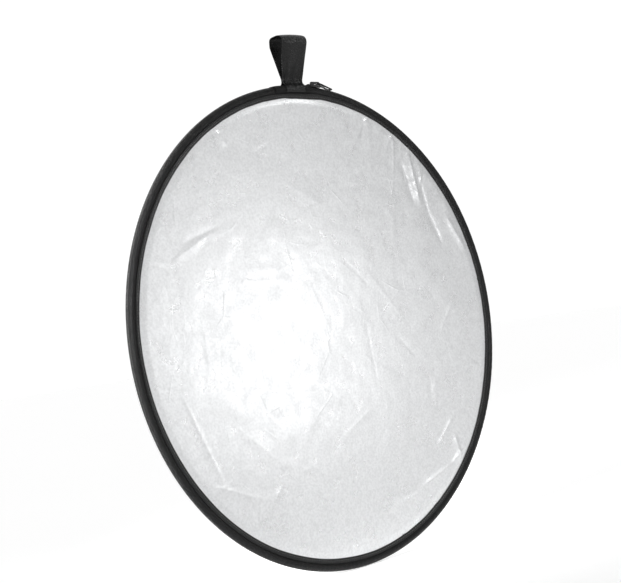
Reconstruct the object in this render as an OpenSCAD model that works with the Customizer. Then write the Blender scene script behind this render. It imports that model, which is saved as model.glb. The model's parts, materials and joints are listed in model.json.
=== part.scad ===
// Collapsible reflector disc with a zip-round cover, a sprung hoop and a hanging loop.
// The disc stands upright in the XZ plane: its reflecting face looks along -Y and the
// hanging loop is at +Z. The origin is the centre of the disc.

/* [Disc] */
// Outer diameter of the rim
disc_d = 560; // [400:10:1200]
// Distance from the outer edge of the rim to the inner edge of the hem
rim_w = 13.2; // [12.5:0.1:14]

/* [Rim cover] */
// Radius of the rim tube, measured to the outside of the binding
tube_r = 4.8; // [4.7:0.1:5]
// Thickness of the woven binding
binding_t = 0.6; // [0.5:0.1:0.6]
// Thickness of the flat hem round the edge of each face
hem_t = 0.7; // [0.5:0.1:0.9]
// Width of the groove between the hem and the rim tube
groove_w = 0.5; // [0.3:0.1:0.8]
// Radius of the sewing thread on the hems
thread_r = 0.25; // [0.15:0.05:0.3]

/* [Fabrics] */
// Distance from the mid-plane of the disc to the outside of each face
face_y = 2.7; // [2.6:0.1:3]
// Thickness of each outer face fabric
panel_t = 0.5; // [0.3:0.1:0.6]
// Thickness of each lining
lining_t = 0.5; // [0.3:0.1:0.5]
// Thickness of the translucent diffuser
diffuser_t = 0.5; // [0.3:0.1:0.6]

/* [Sprung hoop] */
// Radial thickness of the spring steel band
hoop_t = 1; // [0.8:0.1:1.2]
// Width of the band across the disc
hoop_w = 3.5; // [3:0.1:3.6]
// Length of the ferrule that joins the ends of the band
ferrule_len = 30; // [20:1:50]

/* [Zip] */
// Width of one coil, measured round the rim tube in degrees
coil_arc = 17.5; // [12:0.5:19]
// Thickness of the zip tape
tape_t = 0.5; // [0.3:0.1:0.6]
// Distance along the rim from the top of the disc to the middle of the slider
slider_at = 34; // [33:0.5:60]

/* [Slider and pull] */
// Length of the slider along the rim
slider_len = 15.6; // [15:0.1:16]
// Width of the slider at its wide end
slider_w = 8.4; // [8:0.1:9]
// Thickness of the slider's outer plate
plate_t = 1.5; // [1.2:0.1:1.6]
// Width of the bridge on the slider that the pull hangs from
bridge_w = 2.2; // [1.8:0.1:2.4]
// Length of the pull, from the middle of its crossbar to its tip
pull_len = 21.5; // [18:0.5:22]
// Width of the pull
pull_w = 7; // [6.4:0.1:8]
// Thickness of the pull
pull_t = 1.3; // [1:0.1:1.4]

/* [Hanging loop] */
// Width of the ribbon
strap_w = 38; // [30:1:40]
// Width of the ribbon where it is gathered at its root
strap_root_w = 30; // [24:1:30]
// Height of the loop above the rim
strap_h = 62; // [40:1:90]
// Radius of the roll at the top of the loop
strap_roll_r = 12.5; // [8:0.5:16]
// Thickness of the ribbon
strap_t = 1.2; // [0.8:0.1:1.4]
// Distance that the patch under the loop reaches to the left and to the right
patch_left = 33; // [28:1:33]
patch_right = 23; // [18:1:23]

/* [Hidden] */
$fn = 96;
disc_r = disc_d / 2;
coil_h = 1;
gap = 0.3;
slit = 0.08;
// The rim tube's centre line, with the coils standing proud of the tape inside the binding
coil_r = tube_r + 0.4;
tube_c = disc_r - coil_r;
tape_r = tube_r - binding_t - slit;
coil_start = 4.5;
binding_start = 26;
// The binding lies round the rim tube in narrow flats, each at most this many degrees wide
flat_arc = 10;
hem_r = disc_r - rim_w;
hem_y = face_y + hem_t;
hem_edge = 0.3;
seam_in = 2.4;
thread_c = hem_r + seam_in;
// The diffuser's own sleeve, which holds the hoop
sleeve_r = 3;
sleeve_t = 0.4;
sleeve_in = 0.6;
sleeve_c = tube_c - sleeve_in;
flange_t = 0.5;
flange_in = 0.7;
flange_r = hem_r + flange_in;
panel_in = 2.8;
panel_r = tube_c - panel_in;
lining_in = 3.3;
lining_r = tube_c - lining_in;
diffuser_in = 0.1;
diffuser_r = sleeve_c - sleeve_r - diffuser_in;
lining_y = face_y - panel_t;
diffuser_thread_r = 0.2;
ferrule_t = 0.35;
ferrule_play = 0.05;
ferrule_rim_t = 0.2;
hoop_ends = 1;
shrink_over = 6;
shrink_r = 2.5;
shrink_t = 0.25;
// Where the zip starts and ends, clockwise and anticlockwise of the top of the disc
zip_free = 4;
stop_len = 2.2;
stop_t = 0.5;
stop_gap = 0.5;
stop_play = 0.05;
stop_arc = 24;
tape_start = 8;
tape_fold = 41.5;
tape_end = 75;
// The slider and its pull
slider_play = 0.6;
plate_r = coil_r + slider_play;
slider_tail_w = 6.8;
slider_bulge = 0.1;
slider_nose_in = 1.2;
flange_w = 0.9;
flange_drop = 0.95;
key_w = 0.3;
key_len = 4;
key_drop = 3.3;
inner_plate_w = 2.4;
inner_plate_t = 0.5;
root_sink = 0.3;
plate_top = tube_c + plate_r + plate_t;
// The bridge: along the rim from the slider's middle, and out from the slider's plate
bridge_outside = [[-6.9, 0], [-7.1, 1.6], [-6.7, 4.2], [5.6, 5.5], [6.6, 4.9], [6.9, 0]];
bridge_inside = [[-5.5, 0], [-5, 1.3], [1, 2], [2.6, 4], [5.5, 4], [5.7, 0]];
bar_x = 4.4;
bar_up = 3.1;
bar_r = 0.75;
bar_z = plate_top + bar_up;
pull_tilt = 14;
ring_w = 6.4;
ring_hole_w = 3.2;
ring_len = 3.3;
tip_r = 1.2;
slot_w = 3;
slot_len = 8;
slot_in = 2.6;
// The hanging loop and what it is sewn to
patch_play = 0.2;
patch_r = coil_r + patch_play;
patch_t = 0.6;
patch_arc = 128;
tail_play = 0.05;
tail_r = patch_r + patch_t + tail_play;
tail_t = 0.9;
tail_arc = 120;
root_extra = 0.2;
root_r = strap_t + root_extra;
root_z = tube_c + tail_r + tail_t + gap + root_r;
roll_z = disc_r + strap_h - strap_roll_r;
root_h = 6;
gather_h = 44;
tack_h = 3.5;
tack_len = 2.2;
tack_pitch = 3;
tack_r = 0.2;
// Distance that a cutting shape runs past the solid it cuts
over = 5;

// Angle round the rim, in degrees, of a distance along it
function rim_angle(len) = len / disc_r * 180 / PI;

// Revolves a section about the axis of the disc. In a section, x is the distance from the
// axis and y is the distance in front of the mid-plane. Angles run anticlockwise from +X.
module ring(from = 0, to = 360) {
  rotate([90, 0, 0])
    rotate_extrude(start = from, angle = to - from, $fn = 360)
      children();
}

// Puts a child that is drawn at the top of the disc at an angle clockwise of it
module clockwise(angle) {
  rotate([0, angle, 0])
    children();
}

module to_back() {
  mirror([0, 1, 0])
    children();
}

// Part of a circular wall round the rim tube's centre line, from one angle to another.
// Angle 0 points away from the disc and 90 points to the front.
module wall(r, t, from, to) {
  reach = 3 * r;
  steps = ceil((to - from) / 60);
  span = (to - from) / steps;
  translate([tube_c, 0])
    intersection() {
      difference() {
        circle(r);
        circle(r - t);
      }
      polygon(concat([[0, 0]],
        [for (i = [0 : steps]) reach * [cos(from + i * span), sin(from + i * span)]]));
    }
}

module thread_ring(r, y, thread) {
  ring()
    translate([r, y + thread])
      circle(thread, $fn = 24);
}

// The sprung hoop

module spring_hoop() {
  half_gap = rim_angle(hoop_ends / 2);
  color("silver")
    ring(270 + half_gap, 630 - half_gap)
      translate([sleeve_c - hoop_t / 2, -hoop_w / 2])
        square([hoop_t, hoop_w]);
}

module hoop_ferrule() {
  half = rim_angle(ferrule_len / 2);
  hole = [hoop_t + 2 * ferrule_play, hoop_w + 2 * ferrule_play];
  color("darkgray")
    ring(270 - half, 270 + half)
      translate([sleeve_c, 0])
        difference() {
          square(hole + 2 * [ferrule_t, ferrule_rim_t], center = true);
          square(hole, center = true);
        }
}

module hoop_shrink_tube() {
  half = rim_angle(ferrule_len / 2 + shrink_over);
  color([0.1, 0.1, 0.1])
    ring(270 - half, 270 + half)
      translate([sleeve_c, 0])
        difference() {
          circle(shrink_r);
          circle(shrink_r - shrink_t);
        }
}

// The diffuser

module diffuser_fabric() {
  color([0.96, 0.96, 0.94])
    rotate([90, 0, 0])
      cylinder(r = diffuser_r, h = diffuser_t, center = true, $fn = 360);
}

module diffuser_sleeve() {
  color([0.12, 0.12, 0.12])
    ring()
      difference() {
        union() {
          translate([sleeve_c, 0])
            circle(sleeve_r);
          for (side = [-1, 1])
            translate([flange_r, side * (diffuser_t + flange_t) / 2 - flange_t / 2])
              square([sleeve_c - flange_r, flange_t]);
        }
        translate([sleeve_c, 0])
          circle(sleeve_r - sleeve_t);
      }
}

module diffuser_stitching() {
  color([0.9, 0.9, 0.88])
    for (side = [0, 1])
      mirror([0, side, 0])
        thread_ring(thread_c, diffuser_t / 2 + flange_t, diffuser_thread_r);
}

// The cover's fabrics

module face_fabric(r, y, t) {
  translate([0, -y + t, 0])
    rotate([90, 0, 0])
      cylinder(r = r, h = t, $fn = 360);
}

module front_panel() {
  color([0.8, 0.81, 0.83])
    face_fabric(panel_r, face_y, panel_t);
}

module front_lining() {
  color([0.83, 0.66, 0.3])
    face_fabric(lining_r, lining_y, lining_t);
}

module back_panel() {
  color([0.93, 0.93, 0.92])
    to_back()
      face_fabric(panel_r, face_y, panel_t);
}

module back_lining() {
  color([0.08, 0.08, 0.08])
    to_back()
      face_fabric(lining_r, lining_y, lining_t);
}

// The rim

module hem() {
  ring()
    difference() {
      polygon([[hem_r, face_y], [tube_c, face_y], [tube_c, hem_y],
               [hem_r + hem_edge, hem_y], [hem_r, hem_y - hem_edge]]);
      translate([tube_c, 0])
        circle(tube_r + groove_w);
    }
}

module binding() {
  inner = tube_r - binding_t;
  last = ceil((180 - binding_start) / flat_arc);
  turns = [for (i = [0 : last]) binding_start + i * (180 - binding_start) / last];
  ring()
    difference() {
      translate([tube_c, 0])
        polygon([for (i = [0 : last]) tube_r * [cos(turns[i]), sin(turns[i])],
                 for (i = [last : -1 : 0]) inner * [cos(turns[i]), sin(turns[i])]]);
      translate([hem_r, 0])
        square([tube_c - hem_r, face_y]);
    }
}

module front_hem() {
  color([0.09, 0.09, 0.09])
    hem();
}

module back_hem() {
  color([0.09, 0.09, 0.09])
    to_back()
      hem();
}

module front_binding() {
  color([0.14, 0.14, 0.14])
    binding();
}

module back_binding() {
  color([0.14, 0.14, 0.14])
    to_back()
      binding();
}

module front_stitching() {
  color([0.2, 0.2, 0.2])
    thread_ring(thread_c, hem_y, thread_r);
}

module back_stitching() {
  color([0.2, 0.2, 0.2])
    to_back()
      thread_ring(thread_c, hem_y, thread_r);
}

// The zip, which runs all round the edge of the rim but for a gap under the loop

// The tape lies flat from the coil to its fold, and flat again from there to its edge
module zip_tape() {
  inner = tape_r - tape_t;
  turns = [tape_start, tape_fold, tape_end];
  ring(90 + zip_free, 450 - zip_free)
    translate([tube_c, 0])
      polygon([for (i = [0 : 2]) tape_r * [cos(turns[i]), sin(turns[i])],
               for (i = [2 : -1 : 0]) inner * [cos(turns[i]), sin(turns[i])]]);
}

module zip_coil() {
  ring(90 + zip_free, 450 - zip_free)
    wall(coil_r, coil_h, coil_start, coil_start + coil_arc);
}

module zip_tape_front() {
  color([0.12, 0.12, 0.12])
    zip_tape();
}

module zip_tape_back() {
  color([0.12, 0.12, 0.12])
    to_back()
      zip_tape();
}

module zip_coil_front() {
  color([0.18, 0.18, 0.18])
    zip_coil();
}

module zip_coil_back() {
  color([0.18, 0.18, 0.18])
    to_back()
      zip_coil();
}

// A clamp across both coils, centred at a distance clockwise of the top of the disc
module zip_stop(at) {
  middle = 90 - rim_angle(at);
  half = rim_angle(stop_len / 2);
  color("dimgray")
    ring(middle - half, middle + half)
      wall(coil_r + stop_play + stop_t, stop_t, -stop_arc, stop_arc);
}

module zip_top_stop() {
  zip_stop(patch_right + stop_len / 2 + stop_gap);
}

module zip_bottom_stop() {
  zip_stop(-patch_left - stop_len / 2 - stop_gap);
}

// The slider and its pull. In their own frame, x runs clockwise along the rim.

module slider_section() {
  translate([tube_c + plate_r, -slider_w / 2])
    square([plate_t, slider_w]);
  for (side = [-1, 1])
    translate([tube_c + plate_r - flange_drop, side * (slider_w - flange_w) / 2 - flange_w / 2])
      square([flange_drop + root_sink, flange_w]);
}

module slider_outline() {
  tail = slider_tail_w / 2;
  middle = slider_w / 2 + slider_bulge;
  nose = slider_w / 2 - slider_nose_in;
  polygon([[-slider_len / 2, tail], [slider_len / 6, middle], [slider_len / 2, nose],
           [slider_len / 2, -nose], [slider_len / 6, -middle], [-slider_len / 2, -tail]]);
}

module slider_shell() {
  half = rim_angle(slider_len);
  intersection() {
    ring(90 - half, 90 + half)
      slider_section();
    translate([0, 0, tube_c])
      linear_extrude(plate_top - tube_c + over)
        slider_outline();
  }
}

// The key that parts the coils, and the small plate that it holds inside the zip
module slider_key() {
  half = rim_angle(key_len / 2);
  inner_half = rim_angle(slider_len / 3);
  inner_r = tube_c + plate_r - key_drop;
  ring(90 - half, 90 + half)
    translate([inner_r + inner_plate_t / 2, -key_w / 2])
      square([key_drop - inner_plate_t / 2 + root_sink, key_w]);
  ring(90 - inner_half, 90 + inner_half)
    translate([inner_r, -inner_plate_w / 2])
      square([inner_plate_t, inner_plate_w]);
}

module slider_bridge() {
  translate([0, bridge_w / 2, plate_top])
    rotate([90, 0, 0])
      linear_extrude(bridge_w)
        difference() {
          polygon(bridge_outside);
          polygon(bridge_inside);
        }
  translate([bridge_outside[0].x, -bridge_w / 2, plate_top - root_sink])
    cube([bridge_outside[5].x - bridge_outside[0].x, bridge_w, root_sink]);
}

module slider_body() {
  color([0.16, 0.16, 0.17])
    clockwise(rim_angle(slider_at)) {
      slider_shell();
      slider_key();
      slider_bridge();
    }
}

module pull_outline() {
  tip = pull_len - tip_r;
  slot_end = pull_len - slot_in - slot_w / 2;
  difference() {
    union() {
      translate([0, -ring_w / 2])
        square([ring_len + root_sink, ring_w]);
      translate([ring_len, -pull_w / 2])
        square([tip - ring_len, pull_w]);
      translate([tip - root_sink, tip_r - pull_w / 2])
        square([tip_r + root_sink, pull_w - 2 * tip_r]);
      for (side = [-1, 1])
        translate([tip, side * (pull_w / 2 - tip_r)])
          circle(tip_r);
    }
    translate([0, -ring_hole_w / 2])
      square([ring_len, ring_hole_w]);
    translate([slot_end - slot_len + slot_w, 0])
      circle(slot_w / 2);
    translate([slot_end - slot_len + slot_w, -slot_w / 2])
      square([slot_len - slot_w, slot_w]);
    translate([slot_end, 0])
      circle(slot_w / 2);
  }
}

// The crossbar lies under the bridge, and the ring's two arms pass outside it
module pull_tab() {
  color([0.2, 0.2, 0.21])
    clockwise(rim_angle(slider_at))
      translate([bar_x, 0, bar_z])
        rotate([0, pull_tilt, 0]) {
          translate([0, 0, -pull_t / 2])
            linear_extrude(pull_t)
              pull_outline();
          rotate([90, 0, 0])
            cylinder(r = bar_r, h = ring_w, center = true);
        }
}

// The hanging loop

module strap_patch() {
  color([0.08, 0.08, 0.08])
    ring(90 - rim_angle(patch_right), 90 + rim_angle(patch_left))
      wall(patch_r + patch_t, patch_t, -patch_arc, patch_arc);
}

module strap_tails() {
  half = rim_angle(strap_root_w / 2);
  color([0.06, 0.06, 0.06])
    ring(90 - half, 90 + half)
      wall(tail_r + tail_t, tail_t, -tail_arc, tail_arc);
}

// A drop shape that stands on its point, with the roll of the loop as its round end
module drop(r, point_z) {
  lean = asin(r / (roll_z - point_z));
  translate([0, roll_z])
    circle(r);
  polygon([[0, point_z], [r * cos(lean), roll_z - r * sin(lean)],
           [-r * cos(lean), roll_z - r * sin(lean)]]);
}

module strap_loop() {
  lean = asin(strap_roll_r / (roll_z - root_z));
  half = strap_w / 2;
  root_half = strap_root_w / 2;
  color([0.07, 0.07, 0.07])
    intersection() {
      rotate([90, 0, 90])
        linear_extrude(strap_w, center = true)
          union() {
            difference() {
              drop(strap_roll_r, root_z);
              drop(strap_roll_r - strap_t, root_z + strap_t / sin(lean));
            }
            translate([-root_r, root_z])
              square([2 * root_r, root_h]);
            translate([0, root_z])
              circle(root_r);
          }
      rotate([90, 0, 0])
        linear_extrude(4 * strap_roll_r, center = true)
          polygon([[-root_half, root_z - over], [root_half, root_z - over],
                   [root_half, root_z + root_h], [half, root_z + gather_h],
                   [half, disc_r + strap_h + over], [-half, disc_r + strap_h + over],
                   [-half, root_z + gather_h], [-root_half, root_z + root_h]]);
    }
}

module strap_bartack() {
  count = floor((strap_root_w - tack_len) / tack_pitch);
  color([0.25, 0.25, 0.25])
    for (side = [-1, 1])
      for (i = [0 : count])
        translate([(i - count / 2) * tack_pitch, side * (root_r + tack_r), root_z + tack_h])
          rotate([0, 90, 0])
            cylinder(r = tack_r, h = tack_len, center = true, $fn = 24);
}

spring_hoop();
hoop_ferrule();
hoop_shrink_tube();
diffuser_fabric();
diffuser_sleeve();
diffuser_stitching();
front_panel();
front_lining();
back_panel();
back_lining();
front_hem();
back_hem();
front_binding();
back_binding();
front_stitching();
back_stitching();
zip_tape_front();
zip_tape_back();
zip_coil_front();
zip_coil_back();
zip_top_stop();
zip_bottom_stop();
slider_body();
pull_tab();
strap_patch();
strap_tails();
strap_loop();
strap_bartack();
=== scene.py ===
"""Looks of the collapsible reflector disc: faces, rim, zip, slider and hanging loop, on the CAD frame."""
import math

import bmesh
import bpy
import numpy as np
from mathutils import Matrix, Vector
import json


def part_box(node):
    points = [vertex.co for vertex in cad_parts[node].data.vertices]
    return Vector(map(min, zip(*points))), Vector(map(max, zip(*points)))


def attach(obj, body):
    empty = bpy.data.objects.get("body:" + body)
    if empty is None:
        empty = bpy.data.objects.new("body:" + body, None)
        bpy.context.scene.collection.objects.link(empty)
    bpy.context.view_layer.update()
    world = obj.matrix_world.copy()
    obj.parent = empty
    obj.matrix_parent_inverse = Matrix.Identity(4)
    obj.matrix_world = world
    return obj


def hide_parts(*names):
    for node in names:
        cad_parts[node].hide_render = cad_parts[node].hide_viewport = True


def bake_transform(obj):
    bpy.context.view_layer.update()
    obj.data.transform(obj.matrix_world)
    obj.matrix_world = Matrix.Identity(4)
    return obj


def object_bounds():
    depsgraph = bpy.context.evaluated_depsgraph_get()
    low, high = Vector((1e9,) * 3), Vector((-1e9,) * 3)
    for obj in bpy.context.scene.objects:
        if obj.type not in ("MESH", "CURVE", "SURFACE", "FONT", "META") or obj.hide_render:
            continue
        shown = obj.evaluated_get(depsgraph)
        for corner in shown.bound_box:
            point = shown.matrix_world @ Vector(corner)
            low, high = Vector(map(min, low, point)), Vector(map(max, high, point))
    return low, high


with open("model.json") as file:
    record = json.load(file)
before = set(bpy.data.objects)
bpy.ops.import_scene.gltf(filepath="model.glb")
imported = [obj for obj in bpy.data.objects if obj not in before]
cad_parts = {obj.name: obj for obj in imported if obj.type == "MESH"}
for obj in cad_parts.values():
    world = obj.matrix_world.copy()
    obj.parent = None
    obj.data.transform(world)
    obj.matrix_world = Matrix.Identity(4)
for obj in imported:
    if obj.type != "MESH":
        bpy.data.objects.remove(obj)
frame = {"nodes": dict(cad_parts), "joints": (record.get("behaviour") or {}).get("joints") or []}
cad_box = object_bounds()

MM = 0.001
TAU = 2 * math.pi


# ---------------------------------------------------------------- sizes, in mm, read from the frame

def side(node, corner, axis):
    """One coordinate of a CAD node's box, in mm. corner is 0 for the lowest and 1 for the highest."""
    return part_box(node)[corner][axis] / MM


# Stitches of the hem: how far they lie from its inner edge, half their width in CAD, and one stitch's length
STITCH_IN = 2.4
STITCH_HALF = 0.25
STITCH_PITCH = 3.4

# The disc: radii about its axis, and distances in front of its mid-plane
DISC_R = side("zip_coil_front", 1, 0)
HEM_R = side("front_stitching", 1, 0) - (STITCH_IN + STITCH_HALF)
PANEL_R = side("front_panel", 1, 0)
FACE_Y = side("back_panel", 1, 1)
HEM_Y = side("back_hem", 1, 1)

# The rim: a tube of radius TUBE_R about a circle of radius TUBE_C, with the zip's coils standing out of it
TUBE_R = side("back_binding", 1, 1)
COIL_R = TUBE_R + 0.4
TUBE_C = DISC_R - COIL_R
BINDING_T = 0.6
GROOVE = 0.5

# The hem's inner edge, which is drawn straight below the loop, at an angle anticlockwise of +X
HEM_EDGE = HEM_R - 1.3
FLAT_Z = HEM_EDGE - 1.4
FLAT_AT = math.radians(88)

# The zip: one coil turn along the rim, and the angle on each side of the top that has no zip, in degrees
COIL_PITCH = 1.5
ZIP_FREE = 4.0

# The slider rests 34 mm along the rim from the top. Its plate, and its bridge in height above the plate
SLIDER_AT = math.degrees(34 / 280)
SLIDER_LOW = DISC_R + 0.6
SLIDER_TOP = SLIDER_LOW + 1.5
BRIDGE_OUTSIDE = [(-6.9, -0.3), (-7.1, 1.6), (-6.7, 4.2), (5.6, 5.5), (6.6, 4.9), (6.9, -0.3)]
BRIDGE_INSIDE = [(-5.5, -0.3), (-5, 1.3), (1, 2), (2.6, 4), (5.5, 4), (5.7, -0.3)]
PULL_PIN = np.array(frame["joints"][1]["pos_m"]) / MM
PULL_TILT = math.radians(14)

# The loop: the line where it bends, the roll at its top, and the ribbon that it is made of
ROOT_Z = frame["joints"][2]["pos_m"][2] / MM
LOOP_TOP = side("strap_loop", 1, 2)
ROLL_R = (side("strap_loop", 1, 1) - side("strap_loop", 0, 1)) / 2
ROLL_Z = LOOP_TOP - ROLL_R
STRAP_W = side("strap_loop", 1, 0) * 2
STRAP_ROOT_W = 30.0
RIBBON_T = 0.8
RIBBON_LEAN = math.tan(math.radians(4.7))
RIBBON_SHIFT = -1.8
TAIL_R = COIL_R + 1.45
TACK_ABOVE_ROOT = 3.6


# ---------------------------------------------------------------- mesh helpers

def turn_outwards(mesh):
    """Turns over the faces that look into their own solid."""
    work = bmesh.new()
    work.from_mesh(mesh)
    bmesh.ops.recalc_face_normals(work, faces=work.faces)
    work.to_mesh(mesh)
    work.free()
    mesh.update()


def mesh_object(name, points, faces, uvs=None):
    """A smooth mesh object from points in mm, with its faces outwards. uvs has (u, v) for each, in metres."""
    mesh = bpy.data.meshes.new(name)
    mesh.from_pydata((np.asarray(points, float) * MM).tolist(), [], faces)
    if uvs is not None:
        layer = mesh.uv_layers.new(name="UVMap")
        corner = np.zeros(len(mesh.loops), np.int32)
        mesh.loops.foreach_get("vertex_index", corner)
        layer.data.foreach_set("uv", np.asarray(uvs, np.float32)[corner].ravel())
    mesh.polygons.foreach_set("use_smooth", [True] * len(mesh.polygons))
    turn_outwards(mesh)
    thing = bpy.data.objects.new(name, mesh)
    bpy.context.scene.collection.objects.link(thing)
    return thing


def grid_faces(rows, columns, wrap_rows=False, wrap_columns=False):
    """Quads over a grid of points stored row by row."""
    r = np.arange(rows if wrap_rows else rows - 1)
    c = np.arange(columns if wrap_columns else columns - 1)
    r, c = np.meshgrid(r, c, indexing="ij")
    r2, c2 = (r + 1) % rows, (c + 1) % columns
    quads = np.stack([r * columns + c, r * columns + c2, r2 * columns + c2, r2 * columns + c], -1)
    return quads.reshape(-1, 4).tolist()


def tube_faces(rings, around, count=1):
    """Faces of closed tubes. Each is a stack of rings, with a cap at both ends."""
    caps = [list(range(around))[::-1], [(rings - 1) * around + i for i in range(around)]]
    one = grid_faces(rings, around, wrap_columns=True) + caps
    size = rings * around
    return [[v + i * size for v in face] for i in range(count) for face in one]


def ring_points(radius, front, angle):
    """Points at a radius, a distance in front of the mid-plane and an angle anticlockwise of +X."""
    return np.stack(np.broadcast_arrays(radius * np.cos(angle), -front, radius * np.sin(angle)), -1)


def ring_mesh(name, section, segments, start=0.0, stop=360.0):
    """Sweeps a closed section round the disc, between two angles in degrees.

    section(angle) gives the radius and the distance in front of the mid-plane, with a row for each angle.
    """
    whole = stop - start >= 360
    angle = np.radians(np.linspace(start, stop, segments, endpoint=not whole))
    radius, front = section(angle)
    points = ring_points(radius, front, angle[:, None])
    rows, columns = radius.shape
    faces = grid_faces(rows, columns, True, True) if whole else tube_faces(rows, columns)
    step = np.hypot(np.diff(radius[0]), np.diff(front[0]))
    across = np.concatenate([[0], np.cumsum(step)]) * MM
    along = angle * DISC_R * MM
    uvs = np.stack(np.broadcast_arrays(along[:, None], across[None, :]), -1).reshape(-1, 2)
    return mesh_object(name, points.reshape(-1, 3), faces, uvs)


def wobble(angle, seed, periods, amounts):
    """A smooth closed wave round the disc, made of a few sines with seeded phases."""
    draw = np.random.RandomState(seed)
    total = np.zeros_like(angle)
    for period, amount in zip(periods, amounts):
        for k in (period, period + 1 + draw.randint(0, 3)):
            total += amount * 0.7 * np.sin(k * angle + draw.uniform(0, TAU))
    return total


def lattice_noise(x, y, size, seed):
    """Smooth noise from -1 to 1 with features about size mm across, off the lattice's lines at the middle."""
    draw = np.random.RandomState(seed)
    table = draw.uniform(-1, 1, (256, 256))
    u, v = x / size + 97.3, y / size + 71.9
    i, j = np.floor(u).astype(int), np.floor(v).astype(int)
    s, t = u - i, v - j
    s, t = s * s * s * (s * (6 * s - 15) + 10), t * t * t * (t * (6 * t - 15) + 10)

    def at(a, b):
        return table[(i + a) % 256, (j + b) % 256]

    low = at(0, 0) * (1 - s) + at(1, 0) * s
    high = at(0, 1) * (1 - s) + at(1, 1) * s
    return low * (1 - t) + high * t


def smoothstep(low, high, value):
    """A smooth step from 0 at low to 1 at high. low may be the larger."""
    t = np.clip((value - low) / (high - low), 0, 1)
    return t * t * (3 - 2 * t)


# ---------------------------------------------------------------- material helpers

def new_material(name):
    """A material, its node tree and its shader."""
    material = bpy.data.materials.new(name)
    material.use_nodes = True
    tree = material.node_tree
    return material, tree, tree.nodes["Principled BSDF"]


def node(tree, kind, settings=(), **inputs):
    """Adds a node. An input is a value, or a socket to link. i3 is input number 3, the rest go by name."""
    made = tree.nodes.new(kind)
    for key, value in dict(settings).items():
        setattr(made, key, value)
    for key, value in inputs.items():
        name = key.replace("_", " ")
        socket = made.inputs[int(key[1:])] if key[0] == "i" and key[1:].isdigit() else made.inputs[name]
        if isinstance(value, bpy.types.NodeSocket):
            tree.links.new(value, socket)
        else:
            socket.default_value = value
    return made


def math_node(tree, operation, a, b=0.0):
    """The result of a Math node."""
    return node(tree, "ShaderNodeMath", {"operation": operation}, i0=a, i1=b).outputs[0]


def colour_mix(tree, factor, a, b):
    """The colour between a and b at a factor."""
    mixed = node(tree, "ShaderNodeMix", {"data_type": "RGBA"}, i0=factor, i6=a, i7=b)
    return mixed.outputs[2]


def spread_of(tree, value, low, high, to_low, to_high):
    """Maps low..high to to_low..to_high, and holds it there."""
    ranged = node(tree, "ShaderNodeMapRange", {}, i0=value, i1=low, i2=high, i3=to_low, i4=to_high)
    return ranged.outputs[0]


def grey(value, tint=0.0):
    """A grey, a little bluer where tint is above 0."""
    return (value, value * (1 + tint * 0.5), value * (1 + tint), 1)


def weave_height(tree, where, pitch, diagonal=False):
    """Height of a plain weave, or of a twill, from a coordinate in metres."""
    parts = node(tree, "ShaderNodeSeparateXYZ", {}, i0=where)
    wave = TAU / pitch
    u = math_node(tree, "MULTIPLY", parts.outputs[0], wave)
    v = math_node(tree, "MULTIPLY", parts.outputs[1], wave)
    if diagonal:
        return math_node(tree, "SINE", math_node(tree, "ADD", u, v))
    return math_node(tree, "MULTIPLY", math_node(tree, "SINE", u), math_node(tree, "SINE", v))


def woven(name, dark, light, pitch, roughness, relief, diagonal=False, sheen=0.3, space="UV", gloss=0.35):
    """Woven cloth: a thread pattern, uneven dye, and slow folds. pitch and relief are in metres."""
    material, tree, shader = new_material(name)
    where = node(tree, "ShaderNodeTexCoord").outputs[space]
    height = weave_height(tree, where, pitch, diagonal)
    fuzz = node(tree, "ShaderNodeTexNoise", {}, Vector=where, Scale=0.35 / pitch, Detail=4.0)
    patches = node(tree, "ShaderNodeTexNoise", {}, Vector=where, Scale=70.0, Detail=3.0)
    tone = math_node(tree, "ADD", math_node(tree, "MULTIPLY", height, 0.22),
                     math_node(tree, "ADD", math_node(tree, "MULTIPLY", fuzz.outputs[0], 0.55),
                               math_node(tree, "MULTIPLY", patches.outputs[0], 0.45)))
    tree.links.new(colour_mix(tree, spread_of(tree, tone, 0.2, 0.9, 0.0, 1.0), dark, light),
                   shader.inputs["Base Color"])
    tree.links.new(spread_of(tree, fuzz.outputs[0], 0.3, 0.7, roughness - 0.08, roughness + 0.08),
                   shader.inputs["Roughness"])
    shader.inputs["Sheen Weight"].default_value = sheen
    shader.inputs["Sheen Roughness"].default_value = 0.45
    shader.inputs["Specular IOR Level"].default_value = gloss
    coarse = node(tree, "ShaderNodeBump", {}, Strength=0.35, Distance=relief * 3, Height=patches.outputs[0])
    fine = node(tree, "ShaderNodeBump", {}, Strength=0.8, Distance=relief,
                Height=math_node(tree, "ADD", height, fuzz.outputs[0]), Normal=coarse.outputs[0])
    tree.links.new(fine.outputs[0], shader.inputs["Normal"])
    return material


def crease_lines(tree, where, scale, half_width, mask):
    """Thin ridges along the borders of random cells, faint where the mask is low. half_width is in metres."""
    facing = node(tree, "ShaderNodeMapping", {}, Vector=where, Rotation=(math.pi / 2, 0, 0))
    cells = node(tree, "ShaderNodeTexVoronoi", {"feature": "DISTANCE_TO_EDGE", "voronoi_dimensions": "2D"},
                 Vector=facing.outputs[0], Scale=scale)
    ridge = spread_of(tree, cells.outputs["Distance"], 0.0, half_width * scale, 1.0, 0.0)
    return math_node(tree, "MULTIPLY", ridge, mask)


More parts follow.
